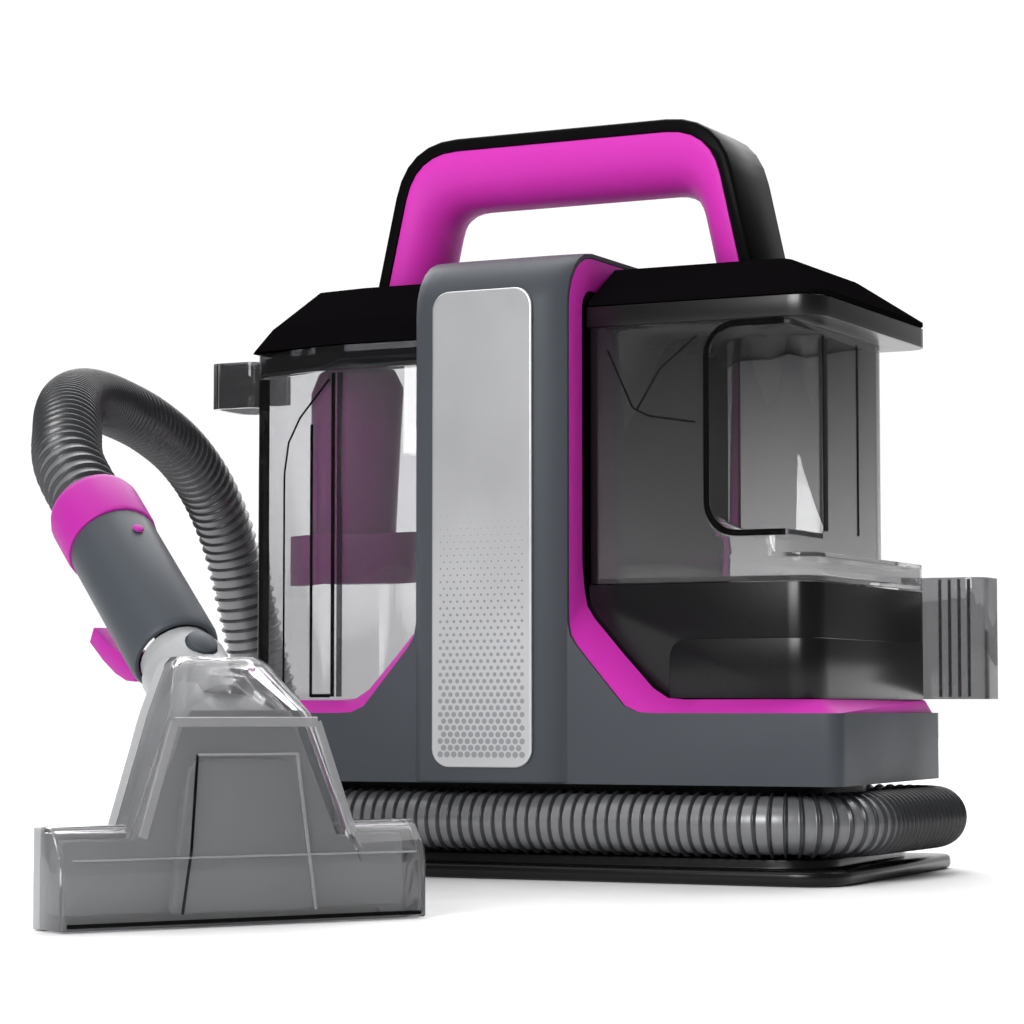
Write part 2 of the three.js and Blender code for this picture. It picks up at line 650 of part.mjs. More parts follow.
function makeHose() {
  add('hose_stored', tube(wrapCurve(), HOSE.radius, 10, 56), HOSE_GRAY);
  const free = new THREE.CatmullRomCurve3(FREE_ROUTE.map((p) => vec(...p)), false, 'centripetal');
  add('hose_free', tube(free, HOSE.radius, 10, 36), HOSE_GRAY);
  const port = turned([[0, 0], [18, 0], [18, 16], [16.5, 18], [0, 18]]).rotateX(-Math.PI / 2);
  add('hose_port', join(
    port.translate(-166, 0.4, HOSE.level),
    prismZ(rectangle(-166, 4, -150, 17, 3), 12, 42),
  ), BLACK);
}

// ---- handset ------------------------------------------------------------------------------------
/** The nozzle's outer form, set in by `inset`, from `floor` up, with its rear moved back by `behind`. */
function nozzleForm(inset, behind, floor) {
  const { front, halfWidth, footBack } = NOZZLE;
  const foot = prismX(outline([
    [front + inset, floor], [front + inset, 26 - inset, 3], [1, 37.5 - inset, 3],
    [footBack + behind, 37.5 - inset], [footBack + behind, floor],
  ]), inset - halfWidth, halfWidth - inset, 1.5, 3);
  // [height, half width, distance of its front behind the foot's, rear] of the hood over the neck
  const levels = [
    [20, 56, 0, 10], [27, 52, 0, 10], [33, 47.5, 0.4, 10.5], [76, 31, 3.6, 17], [79, 29.5, 4.6, 18],
    [97, 20, 20, 23], [99.5, 17, 23, 24],
  ];
  const corner = 4;
  const hood = loft(levels.map(([level, half, setBack, rear]) => {
    const [w, f, back] = [half - inset, front + setBack + inset, rear + behind];
    const height = level > 90 ? level - 1.2 * inset : level;
    return [
      [-w, back], [-w, f + corner], [-w + corner, f], [w - corner, f], [w, f + corner], [w, back],
    ].map(([x, depth]) => vec(x, depth, height));
  }));
  return join(foot, hood);
}

function makeHandset() {
  const tool = new THREE.Group();
  tool.position.set(TOOL.x, TOOL.y, 0);
  tool.rotation.z = THREE.MathUtils.degToRad(TOOL.turn);
  model.add(tool);
  const arm = new THREE.Group();
  arm.position.set(0, GRIP.root.y, GRIP.root.z);
  arm.rotation.x = -THREE.MathUtils.degToRad(90 - TOOL.lean);
  tool.add(arm);
  arm.updateMatrix();
  const neckRoom = turned([[0, 8 - GAP], [17.6, 8 - GAP], [17.6, 80], [0, 80]]).applyMatrix4(arm.matrix);

  // clear front shell, the grey body that closes it from behind, and the channel between them
  const { front, depth, wall } = NOZZLE;
  add('nozzle_window', cut(
    nozzleForm(0, 0, 0.4), nozzleForm(wall, 5, -3), neckRoom,
  ), CLEAR, tool);
  const shroud = cut(nozzleForm(GAP, depth, 0), nozzleForm(-GAP, GAP, -5));
  const filler = cut(
    nozzleForm(wall + 3.5, 2, 6), new THREE.BoxGeometry(200, 40, 300).translate(0, -18, 0),
  );
  const channel = prismY(rectangle(-66, -2, 66, 5, 2), front + 8, 12);
  add('nozzle_body', cut(join(shroud, filler), channel, neckRoom), LIGHT_GRAY, tool);
  const duct = cut(
    prismY(outline([[30, 5, 4], [23, 61, 7], [-23, 61, 7], [-30, 5, 4]]), -2.7, 1.6, 1, 3),
    prismY(outline([[28, -2], [20.8, 57, 6], [-20.8, 57, 6], [-28, -2]]), -1.2, 12, 0, 3),
  );
  add('suction_duct', duct, LIGHT_GRAY, tool);

  // the neck, grip and collar lie along the leaning arm, +Z towards the hose
  const { neck, grip, collar, radius } = GRIP;
  const neckRoot = turned([
    [0, 8], [17.3, 8], [17.3, neck - 8], [15, neck - 6], [15, neck - GAP], [0, neck - GAP],
  ]);
  const neckBore = turned([[0, 18], [12.5, 18], [12.5, neck + 2], [0, neck + 2]]);
  const buttonAt = neck - 13.5;
  const buttonPocket = turned([[0, 13.3], [6.4, 13.3], [6.4, 22], [0, 22]], 20)
    .scale(1, 1.1, 1).rotateX(Math.PI / 2).translate(0, 0, buttonAt);
  add('nozzle_neck', cut(neckRoot, neckBore, buttonPocket), LIGHT_GRAY, arm);
  const gripShell = turned([
    [15.5, neck], [radius - 1, neck], [radius, neck + 3], [radius, neck + grip - GAP],
    [15.5, neck + grip - GAP], [15.5, neck],
  ], 28);
  const slot = new THREE.BoxGeometry(16, 16, 32).translate(0, 20, neck + 22);
  add('handset_grip', cut(gripShell, slot), GRAY, arm);
  const end = neck + grip + collar;
  const collarShell = turned([
    [15.6, neck + grip], [18.9, neck + grip], [19.2, neck + grip + 2], [19.2, end - 4], [18, end],
    [15.6, end], [15.6, neck + grip],
  ], 28);
  add('handset_collar', collarShell, MAGENTA, arm);
  const trigger = new THREE.Shape();
  trigger.moveTo(17, neck + 12);
  trigger.lineTo(22, neck + 12);
  trigger.quadraticCurveTo(32, neck + 22, 35, neck + 54);
  trigger.lineTo(28, neck + 55);
  trigger.quadraticCurveTo(25, neck + 32, 17, neck + 25);
  trigger.closePath();
  add('spray_trigger', prismX(trigger, -7, 7, 0.8), MAGENTA, arm);
  const button = turned([[0, 15], [6, 15], [6, 18], [4.6, 18.9], [0, 19.4]], 20).scale(1, 1.1, 1);
  button.rotateX(Math.PI / 2).translate(0, 0, buttonAt);
  add('release_button', button, GRAY, arm);
  const plug = turned([
    [0, radius + GAP], [2.6, radius + GAP], [2, radius + 1.3], [0, radius + 1.5],
  ], 14);
  add('grip_plug', plug.rotateX(Math.PI / 2).translate(0, 0, neck + grip - 14), MAGENTA, arm);
}

makeFoot();
makeBody();
makeTrim('trim_right', 1);
makeTrim('trim_left', -1);
makeBadge();
makeCore();
makeRightHousing();
makeCleanTank();
makeDirtyTank();
makeCovers();
makeHandle();
makeHooks();
makeRear();
makeHose();
makeHandset();

export default model;
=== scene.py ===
"""Portable spot extractor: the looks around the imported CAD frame. Metres, +Z up, front faces -Y."""
import math

import bmesh
import bpy
import numpy as np
from mathutils import Matrix, Vector


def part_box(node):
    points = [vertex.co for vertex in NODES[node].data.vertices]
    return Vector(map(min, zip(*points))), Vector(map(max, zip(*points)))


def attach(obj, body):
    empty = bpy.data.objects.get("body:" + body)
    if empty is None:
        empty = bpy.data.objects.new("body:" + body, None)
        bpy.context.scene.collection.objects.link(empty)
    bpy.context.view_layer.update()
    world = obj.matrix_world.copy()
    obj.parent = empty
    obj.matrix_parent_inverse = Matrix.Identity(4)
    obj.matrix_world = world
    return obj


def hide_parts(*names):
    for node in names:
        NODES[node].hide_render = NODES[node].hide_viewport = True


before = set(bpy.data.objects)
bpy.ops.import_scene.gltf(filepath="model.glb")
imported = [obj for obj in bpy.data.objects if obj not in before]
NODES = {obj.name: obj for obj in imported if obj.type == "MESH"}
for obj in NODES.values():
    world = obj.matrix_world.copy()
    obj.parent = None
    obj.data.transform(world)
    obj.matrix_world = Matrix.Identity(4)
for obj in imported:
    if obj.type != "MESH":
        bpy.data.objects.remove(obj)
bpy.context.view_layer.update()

MM = 0.001


# ---- camera, light and floor ---------------------------------------------------------------------
LENS_MM, SENSOR_MM = 106.1, 36
CAMERA_PLACE = (0.6488, -1.3757, 0.0795)
CAMERA_TURN, CAMERA_PITCH = 26.56, 3.75  # degrees, to the left of +Y and up from level
BACKDROP = (-0.52, 0.85, 0.0)  # where the dome is brightest, from the machine
DOME_EDGE, DOME_CORE = 0.55, 0.93  # cosines of the angles from there between which it brightens
DOME_DIM, DOME_BRIGHT = 0.10, 1.05
FLOOR_SIZE = 14
FLOOR_DROP = 0.0002


def make_camera():
    data = bpy.data.cameras.new("camera")
    data.lens = LENS_MM
    data.sensor_width = SENSOR_MM
    camera = bpy.data.objects.new("camera", data)
    bpy.context.collection.objects.link(camera)
    turn, pitch = math.radians(CAMERA_TURN), math.radians(CAMERA_PITCH)
    level = math.cos(pitch)
    forward = Vector((-math.sin(turn) * level, math.cos(turn) * level, math.sin(pitch)))
    camera.location = CAMERA_PLACE
    camera.rotation_euler = forward.to_track_quat("-Z", "Y").to_euler()
    bpy.context.scene.camera = camera


def area_light(name, place, target, size, power):
    data = bpy.data.lights.new(name, "AREA")
    data.shape = "RECTANGLE"
    data.size, data.size_y = size
    data.energy = power
    light = bpy.data.objects.new(name, data)
    bpy.context.collection.objects.link(light)
    light.location = place
    light.rotation_euler = (Vector(target) - Vector(place)).to_track_quat("-Z", "Y").to_euler()


def make_world():
    """A studio dome: a bright backdrop behind the machine, dimmer towards the camera's side."""
    world = bpy.data.worlds.new("studio")
    bpy.context.scene.world = world
    world.use_nodes = True
    nodes, links = world.node_tree.nodes, world.node_tree.links
    coords = nodes.new("ShaderNodeTexCoord")
    facing = nodes.new("ShaderNodeVectorMath")
    facing.operation = "DOT_PRODUCT"
    facing.inputs[1].default_value = BACKDROP
    spread = nodes.new("ShaderNodeMapRange")
    spread.interpolation_type = "SMOOTHSTEP"
    spread.inputs["From Min"].default_value = DOME_EDGE
    spread.inputs["From Max"].default_value = DOME_CORE
    spread.inputs["To Min"].default_value = DOME_DIM
    spread.inputs["To Max"].default_value = DOME_BRIGHT
    links.new(coords.outputs["Generated"], facing.inputs[0])
    links.new(facing.outputs["Value"], spread.inputs["Value"])
    links.new(spread.outputs["Result"], nodes["Background"].inputs["Strength"])
    nodes["Background"].inputs["Color"].default_value = (1, 1, 1, 1)


def make_stage():
    """Plain product-shot light: bright behind and from the front, with the sides left dark."""
    bpy.context.scene.view_settings.view_transform = "Standard"
    make_world()
    area_light("key", (0.15, -2.1, 1.0), (0, 0, 0.18), (0.8, 0.6), 31)
    area_light("top", (-0.2, 0.25, 1.8), (0, 0, 0.2), (1.0, 0.9), 8)
    area_light("floor_wash", (-0.9, -0.6, 2.6), (-0.6, -0.4, 0), (3.0, 3.0), 36)
    area_light("back_wash", (-1.8, 4.6, 3.6), (-1.8, 4.2, 0), (9.0, 6.0), 520)
    bpy.ops.mesh.primitive_grid_add(x_subdivisions=8, y_subdivisions=8, size=FLOOR_SIZE)
    floor = bpy.context.object
    floor.name = "floor"
    floor.location.z = -FLOOR_DROP
    floor.data.materials.append(plastic("floor_paint", (0.92, 0.92, 0.925), 0.7, grain=0.0))


# ---- materials -----------------------------------------------------------------------------------
CLOUD_SCALE, WAVE_SCALE = 14, 9
CLEAR_ROUGHNESS, CLEAR_IOR = 0.03, 1.3
TANK_SHADE_BELOW_X = 0.0455  # x below which the clean tank is opaque black, painted shade
TANK_SHADE_ABOVE_Z = 0.2612  # z above which its rim is opaque black, painted shade
TANK_SHADE_FROM, TANK_SHADE_TO = 0.15, 0.262  # z between which its colour darkens towards the top, painted shade


def new_material(name):
    material = bpy.data.materials.new(name)
    material.use_nodes = True
    nodes = material.node_tree.nodes
    return material, nodes, material.node_tree.links, nodes["Principled BSDF"]


def object_noise(nodes, links, scale, detail, stretch=(1, 1, 1)):
    """Noise in the object's own coordinates."""
    coords = nodes.new("ShaderNodeTexCoord")
    mapping = nodes.new("ShaderNodeMapping")
    mapping.inputs["Scale"].default_value = stretch
    noise = nodes.new("ShaderNodeTexNoise")
    noise.inputs["Scale"].default_value = scale
    noise.inputs["Detail"].default_value = detail
    links.new(coords.outputs["Object"], mapping.inputs["Vector"])
    links.new(mapping.outputs["Vector"], noise.inputs["Vector"])
    return noise


def remap(nodes, links, source, low, high):
    """The middle of a noise's range, spread from low to high."""
    spread = nodes.new("ShaderNodeMapRange")
    spread.inputs["From Min"].default_value = 0.3
    spread.inputs["From Max"].default_value = 0.7
    spread.inputs["To Min"].default_value = low
    spread.inputs["To Max"].default_value = high
    links.new(source, spread.inputs["Value"])
    return spread.outputs["Result"]


def plastic(name, color, roughness, grain=0.08, grain_scale=1400, specular=0.5, metallic=0.0,
            stretch=(1, 1, 1)):
    """Moulded plastic: a fine moulded grain, slight cloudiness in the gloss and in the colour."""
    material, nodes, links, shader = new_material(name)
    shader.inputs["Metallic"].default_value = metallic
    shader.inputs["Specular IOR Level"].default_value = specular
    cloud = object_noise(nodes, links, CLOUD_SCALE, 4.0)
    links.new(remap(nodes, links, cloud.outputs["Fac"], roughness * 0.88, min(1.0, roughness * 1.12)),
              shader.inputs["Roughness"])
    tint = nodes.new("ShaderNodeMix")
    tint.data_type = "RGBA"
    tint.inputs["A"].default_value = (*[c * 0.96 for c in color], 1)
    tint.inputs["B"].default_value = (*[min(1.0, c * 1.04) for c in color], 1)
    links.new(cloud.outputs["Fac"], tint.inputs["Factor"])
    links.new(tint.outputs["Result"], shader.inputs["Base Color"])
    if grain > 0:
        fine = object_noise(nodes, links, grain_scale, 2.0, stretch)
        bump = nodes.new("ShaderNodeBump")
        bump.inputs["Strength"].default_value = grain
        bump.inputs["Distance"].default_value = 0.0002
        links.new(fine.outputs["Fac"], bump.inputs["Height"])
        links.new(bump.outputs["Normal"], shader.inputs["Normal"])
    return material


def clear_plastic(name, color, transmission):
    """Injection-moulded clear plastic: tinted, with the faint waviness of a moulded wall."""
    material, nodes, links, shader = new_material(name)
    shader.inputs["Base Color"].default_value = (*color, 1)
    shader.inputs["Transmission Weight"].default_value = transmission
    shader.inputs["IOR"].default_value = CLEAR_IOR
    cloud = object_noise(nodes, links, WAVE_SCALE, 2.0)
    links.new(remap(nodes, links, cloud.outputs["Fac"], CLEAR_ROUGHNESS * 0.7, CLEAR_ROUGHNESS * 1.3),
              shader.inputs["Roughness"])
    bump = nodes.new("ShaderNodeBump")
    bump.inputs["Strength"].default_value = 0.05
    bump.inputs["Distance"].default_value = 0.002
    links.new(cloud.outputs["Fac"], bump.inputs["Height"])
    links.new(bump.outputs["Normal"], shader.inputs["Normal"])
    return material


def make_materials():
    return {
        "gray": plastic("gray_plastic", (0.062, 0.070, 0.081), 0.46, grain=0.12, specular=0.16),
        "black": plastic("black_gloss", (0.006, 0.006, 0.0065), 0.26, grain=0.0, specular=0.3),
        "cover": plastic("black_cover", (0.004, 0.0035, 0.004), 0.3, grain=0.0, specular=0.0),
        "black_handle": plastic("black_handle", (0.004, 0.004, 0.0045), 0.34, grain=0.0, specular=0.03),
        "black_satin": plastic("black_satin", (0.008, 0.008, 0.009), 0.38, grain=0.1, specular=0.2),
        "magenta": plastic("magenta_plastic", (0.68, 0.036, 0.48), 0.5, grain=0.06, specular=0.2),
        "tool_magenta": plastic("handset_magenta", (0.44, 0.024, 0.32), 0.5, grain=0.06, specular=0.15),
        "dark_magenta": plastic("separator_plastic", (0.26, 0.004, 0.20), 0.4, specular=0.25),
        "light_gray": plastic("light_gray_plastic", (0.36, 0.365, 0.375), 0.36, grain=0.05),
        # the clean tank's smoked plastic, with painted shade
        "smoked": smoked_tank_painted_shade("smoked_plastic_painted_shade"),
        "smoked_hook": clear_plastic("smoked_hook_plastic", (0.17, 0.17, 0.175), transmission=0.92),
        "smoked_light": clear_plastic("smoked_lid_plastic", (0.07, 0.07, 0.075), transmission=0.9),
        "smoked_line": clear_plastic("smoked_edge_plastic", (0.02, 0.02, 0.02), transmission=0.85),
        "clear": clear_plastic("clear_tank_plastic", (0.66, 0.66, 0.67), transmission=0.96),
        "window": clear_plastic("clear_nozzle_plastic", (0.74, 0.74, 0.75), transmission=0.94),
        "window_edge": clear_plastic("nozzle_edge_plastic", (0.52, 0.52, 0.53), transmission=0.6),
        "rubber": plastic("pad_rubber", (0.012, 0.012, 0.012), 0.85, grain=0.3, grain_scale=900),
        "hose": plastic("hose_band", (0.21, 0.212, 0.22), 0.34, grain=0.05, metallic=0.3),
        "rib": plastic("hose_rib", (0.035, 0.036, 0.039), 0.28, grain=0.05),
        "silver": plastic("brushed_silver", (0.60, 0.605, 0.62), 0.36, grain=0.16, grain_scale=420,
                          metallic=0.75, stretch=(0.05, 1, 6)),
        "silver_dark": plastic("printed_gray", (0.30, 0.305, 0.32), 0.4, metallic=0.5),
        "steel": plastic("motor_steel", (0.45, 0.45, 0.47), 0.35, grain=0.1, metallic=1.0),
    }


def smoked_tank_painted_shade(name):
    """Clear plastic darkened towards the top, with its inner side and its rim opaque black: all of it
    painted shade.
    """
    material = clear_plastic(name, (0.3, 0.3, 0.31), 0.92)
    nodes, links = material.node_tree.nodes, material.node_tree.links
    # opaque black for the painted shade on the inner side and on the rim
    black = nodes.new("ShaderNodeBsdfPrincipled")
    black.inputs["Base Color"].default_value = (0.004, 0.004, 0.004, 1)
    black.inputs["Roughness"].default_value = 0.3
    coords = nodes.new("ShaderNodeTexCoord")
    split = nodes.new("ShaderNodeSeparateXYZ")
    # masks of the painted shade: x below the inner side's edge, z above the rim
    inner = nodes.new("ShaderNodeMath")
    inner.operation = "LESS_THAN"
    inner.inputs[1].default_value = TANK_SHADE_BELOW_X
    rim = nodes.new("ShaderNodeMath")
    rim.operation = "GREATER_THAN"
    rim.inputs[1].default_value = TANK_SHADE_ABOVE_Z
    painted = nodes.new("ShaderNodeMath")
    painted.operation = "MAXIMUM"
    shade_mix = nodes.new("ShaderNodeMixShader")
    # painted shade: the colour darkens towards the top
    shade_height = nodes.new("ShaderNodeMapRange")
    shade_height.inputs["From Min"].default_value = TANK_SHADE_FROM
    shade_height.inputs["From Max"].default_value = TANK_SHADE_TO
    tint = nodes.new("ShaderNodeMix")
    tint.data_type = "RGBA"
    tint.inputs["A"].default_value = (0.62, 0.62, 0.625, 1)
    tint.inputs["B"].default_value = (0.2, 0.2, 0.205, 1)
    links.new(coords.outputs["Object"], split.inputs["Vector"])
    links.new(split.outputs["Z"], shade_height.inputs["Value"])
    links.new(shade_height.outputs["Result"], tint.inputs["Factor"])
    links.new(tint.outputs["Result"], nodes["Principled BSDF"].inputs["Base Color"])
    links.new(split.outputs["X"], inner.inputs[0])
    links.new(split.outputs["Z"], rim.inputs[0])
    links.new(inner.outputs["Value"], painted.inputs[0])
    links.new(rim.outputs["Value"], painted.inputs[1])
    links.new(painted.outputs["Value"], shade_mix.inputs[0])
    links.new(nodes["Principled BSDF"].outputs["BSDF"], shade_mix.inputs[1])
    links.new(black.outputs["BSDF"], shade_mix.inputs[2])
    links.new(shade_mix.outputs["Shader"], nodes["Material Output"].inputs["Surface"])
    return material


# ---- CAD nodes that keep their shape -------------------------------------------------------------
# the nodes that each material covers
KEPT = {
    "gray": ["body_shell", "handset_grip", "release_button"],
    "black": ["foot_plate", "pump_housing", "filter_panel", "clean_tank_lid"],
    "cover": ["top_cover_right", "top_cover_left"],
    "black_handle": ["handle_shell"],
    "black_satin": ["hose_core", "core_housing", "fan_shroud", "water_pump", "exhaust_grille",
                    "switch_bezel", "power_inlet", "hose_port"],
    "magenta": ["trim_right", "trim_left", "handle_liner", "power_switch", "clean_tank_cap"],
    "tool_magenta": ["handset_collar", "spray_trigger", "grip_plug"],
    "dark_magenta": ["float_cup", "separator_tower"],
    "light_gray": ["nozzle_body", "nozzle_neck", "suction_duct", "suction_riser", "fan_impeller"],
    # its material carries painted shade
    "smoked": ["clean_tank"],
    "smoked_hook": ["hose_hook", "tool_holder"],
    "smoked_light": ["recovery_tank_lid"],
    "clear": ["recovery_tank"],
    "window": ["nozzle_window"],
    "rubber": ["foot_pad_front_left", "foot_pad_front_right", "foot_pad_rear_left",
               "foot_pad_rear_right"],
    "steel": ["motor_can"],
}
EDGE_MM_ELSEWHERE = 0.4
CREASE = math.radians(32)  # corners sharper than this stay edges
EDGE_MM = {"handle_shell": 1.6, "handle_liner": 0.5, "body_shell": 0.9, "top_cover_right": 0.8,
           "top_cover_left": 0.8, "pump_housing": 1.0, "foot_plate": 0.8, "nozzle_body": 1.2,
           "nozzle_window": 0.8, "clean_tank": 0.8, "recovery_tank": 0.6}


def soften(obj, edge):
    """Joins the split corners of a faceted mesh, rounds its edges and shades it smooth."""
    weld = obj.modifiers.new("weld", "WELD")
    weld.merge_threshold = 0.00002
    bevel = obj.modifiers.new("edges", "BEVEL")
    bevel.width = edge * MM
    bevel.segments = 3
    bevel.limit_method = "ANGLE"
    bevel.angle_limit = CREASE
    split = obj.modifiers.new("shade", "EDGE_SPLIT")
    split.split_angle = CREASE
    for polygon in obj.data.polygons:
        polygon.use_smooth = True


def finish_kept_nodes(materials):
    for kind, names in KEPT.items():
        for name in names:
            node = NODES[name]
            node.data.materials.clear()
            node.data.materials.append(materials[kind])
            soften(node, EDGE_MM.get(name, EDGE_MM_ELSEWHERE))


# ---- mesh helpers --------------------------------------------------------------------------------
def mesh_piece(name, points, faces, materials, body="body", face_materials=None, smooth=True):
    """A new piece from points in metres, riding on a body."""
    mesh = bpy.data.meshes.new(name)
    mesh.from_pydata([tuple(p) for p in points], [], faces)
    for material in materials:
        mesh.materials.append(material)
    if face_materials is not None:
        mesh.polygons.foreach_set("material_index", face_materials)
    for polygon in mesh.polygons:
        polygon.use_smooth = smooth
    mesh.update()
    piece = bpy.data.objects.new(name, mesh)
    bpy.context.collection.objects.link(piece)
    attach(piece, body)
    return piece


def fix_normals(piece):
    cleaned = bmesh.new()
    cleaned.from_mesh(piece.data)
    bmesh.ops.recalc_face_normals(cleaned, faces=cleaned.faces)
    cleaned.to_mesh(piece.data)
    cleaned.free()


# ---- ribbed hose ---------------------------------------------------------------------------------
HOSE_LEVEL, HOSE_LEFT, HOSE_FRONT, HOSE_RIGHT, HOSE_REAR = 27, -166, -90, 169.5, 85
FREE_ROUTE_MM = [
    (-62.5, 85, 27), (-100, 85, 27), (-134, 82.5, 27), (-163, 71, 29.5), (-185, 52, 43),
    (-197.5, 37, 66), (-203, 25, 97), (-206, 13, 134), (-207.5, -1, 169), (-207, -23, 195),
    (-204, -53, 212.5), (-198.5, -92, 223.5), (-189, -138, 228.5), (-172, -183, 227),
    (-150, -227, 221), (-126, -267, 212), (-103, -301, 200), (-81.5, -330, 182),
    (-58.6, -346.1, 161.5),
]


def stored_route():
    """The turn round the base: straights joined by quadratic corners."""
    points = []

    def straight(a, b):
        for t in np.linspace(0, 1, 40, endpoint=False):
            points.append(np.array(a) * (1 - t) + np.array(b) * t)

    def corner(a, c, b):
        for t in np.linspace(0, 1, 40, endpoint=False):
            bend = 2 * t * (1 - t) * np.array(c)
            points.append(np.array(a) * (1 - t) ** 2 + bend + np.array(b) * t * t)

    left, front, right, rear = HOSE_LEFT, HOSE_FRONT, HOSE_RIGHT, HOSE_REAR
    straight((left, 0), (left, -42))
    corner((left, -42), (left, front), (-118, front))
    straight((-118, front), (120, front))
    corner((120, front), (right, front), (right, -42))
    straight((right, -42), (right, 38))
    corner((right, 38), (right, rear), (120, rear))
    straight((120, rear), (-62, rear))
    points.append(np.array((-62, rear)))
    return np.array([(x, y, HOSE_LEVEL) for x, y in points]) * MM


def catmull_rom(points, per_span=24):
    """A centripetal Catmull-Rom curve through the points, with its ends carried on straight."""
    p = [np.array(q, float) for q in points]
    p = [2 * p[0] - p[1], *p, 2 * p[-1] - p[-2]]
    out = []
    for i in range(1, len(p) - 2):
        a, b, c, d = p[i - 1:i + 3]
        t0 = 0.0
        t1 = t0 + np.linalg.norm(b - a) ** 0.5
        t2 = t1 + np.linalg.norm(c - b) ** 0.5
        t3 = t2 + np.linalg.norm(d - c) ** 0.5
        for t in np.linspace(t1, t2, per_span, endpoint=False):
            ab = a * (t1 - t) / (t1 - t0) + b * (t - t0) / (t1 - t0)
            bc = b * (t2 - t) / (t2 - t1) + c * (t - t1) / (t2 - t1)
            cd = c * (t3 - t) / (t3 - t2) + d * (t - t2) / (t3 - t2)
            abc = ab * (t2 - t) / (t2 - t0) + bc * (t - t0) / (t2 - t0)
            bcd = bc * (t3 - t) / (t3 - t1) + cd * (t - t1) / (t3 - t1)
            out.append(abc * (t2 - t) / (t2 - t1) + bcd * (t - t1) / (t2 - t1))
    out.append(p[-2])
    return np.array(out)


RIB_PITCH = 5.9 * MM
TANGENT_REACH = 3 * MM
# one pitch of the hose wall: [share of the pitch, radius in mm, is it the dark rib]
RIB_WALL = [(0.0, 13.3, False), (0.10, 13.2, False), (0.36, 13.5, False), (0.60, 13.2, False),
            (0.70, 13.3, True), (0.75, 14.7, True), (0.82, 15.0, True), (0.90, 14.7, True),
            (0.95, 13.3, True)]


def ribbed_tube(name, route, materials, sides=36):
    """A hose wall swept along the route: pale bands between thin raised dark ribs."""
    steps = np.linalg.norm(np.diff(route, axis=0), axis=1)
    length = np.concatenate([[0], np.cumsum(steps)])
    pitches = int(round(length[-1] / RIB_PITCH))
    pitch = length[-1] / pitches
    stations = [((k + share) * pitch, radius * MM, dark)
                for k in range(pitches) for share, radius, dark in RIB_WALL]
    stations.append((length[-1], RIB_WALL[0][1] * MM, False))
    at = np.array([s[0] for s in stations])

    def along(distance):
        return np.stack([np.interp(distance, length, route[:, i]) for i in range(3)], 1)

    centres = along(at)
    ahead = along(np.minimum(at + TANGENT_REACH, length[-1]))
    behind = along(np.maximum(at - TANGENT_REACH, 0))
    tangents = ahead - behind
    tangents /= np.linalg.norm(tangents, axis=1)[:, None]
    normal = np.cross(tangents[0], (0, 0, 1))
    normal /= np.linalg.norm(normal)
    angles = np.linspace(0, 2 * math.pi, sides, endpoint=False)
    points, faces, kinds = [], [], []
    for k, (centre, tangent, (_, radius, dark)) in enumerate(zip(centres, tangents, stations)):
        normal = normal - tangent * np.dot(normal, tangent)
        normal /= np.linalg.norm(normal)
        side = np.cross(tangent, normal)
        ring = centre + radius * (np.cos(angles)[:, None] * normal + np.sin(angles)[:, None] * side)
        points.extend(ring)
        if k + 1 < len(stations):
            for i in range(sides):
                j = (i + 1) % sides
                faces.append((k * sides + i, k * sides + j, (k + 1) * sides + j, (k + 1) * sides + i))
                kinds.append(1 if dark else 0)
    last = (len(stations) - 1) * sides
    faces.append(tuple(range(sides))[::-1])
    faces.append(tuple(last + i for i in range(sides)))
    kinds += [0, 0]
    piece = mesh_piece(name, points, faces, materials, face_materials=kinds)
    fix_normals(piece)
    return piece, centres


def make_hose(materials):
    walls = [materials["hose"], materials["rib"]]
    stored, _ = ribbed_tube("ribbed_hose_stored", stored_route(), walls)
    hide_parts("hose_stored")
    route = catmull_rom(FREE_ROUTE_MM) * MM
    free, centres = ribbed_tube("ribbed_hose_free", route, walls)
    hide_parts("hose_free")


# ---- badge ---------------------------------------------------------------------------------------
BADGE_CORNER = 9
DOT_PITCH, DOT_ROW, DOT_SIDES = 3.6, 3.6 * 0.87, 12
DOT_SMALLEST, DOT_GROWTH = 0.12, 1.35
DOTTED_SHARE = 0.52  # of the plate's height


def rounded_rectangle(x0, z0, x1, z1, radius, steps=8):
    corners = [(x1 - radius, z1 - radius, 0), (x0 + radius, z1 - radius, 90),
               (x0 + radius, z0 + radius, 180), (x1 - radius, z0 + radius, 270)]
    points = []
    for cx, cz, start in corners:
        for k in range(steps + 1):
            angle = math.radians(start + 90 * k / steps)
            points.append((cx + radius * math.cos(angle), cz + radius * math.sin(angle)))
    return points


def make_badge(materials):
    low, high = (Vector(c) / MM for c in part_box("badge_plate"))
    front, back = low.y, high.y
    # a plate with a chamfered rim, built ring by ring from the back to the middle of the face
    rings = [(0.0, back), (0.0, front + 0.5), (0.4, front + 0.1), (0.9, front)]
    points, faces = [], []
    for inset, y in rings:
        outline = rounded_rectangle(low.x + inset, low.z + inset, high.x - inset, high.z - inset,
                                    BADGE_CORNER - inset)
        points += [(x * MM, y * MM, z * MM) for x, z in outline]
    count = len(points) // len(rings)
    for r in range(len(rings) - 1):
        for i in range(count):
            j = (i + 1) % count
            faces.append((r * count + i, r * count + j, (r + 1) * count + j, (r + 1) * count + i))
    faces.append(tuple(range(count)))
    faces.append(tuple(range(len(points) - count, len(points)))[::-1])
    plate = mesh_piece("badge_face", points, faces, [materials["silver"]], smooth=False)
    fix_normals(plate)
    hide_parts("badge_plate")
    make_badge_dots(front, low, high, materials)


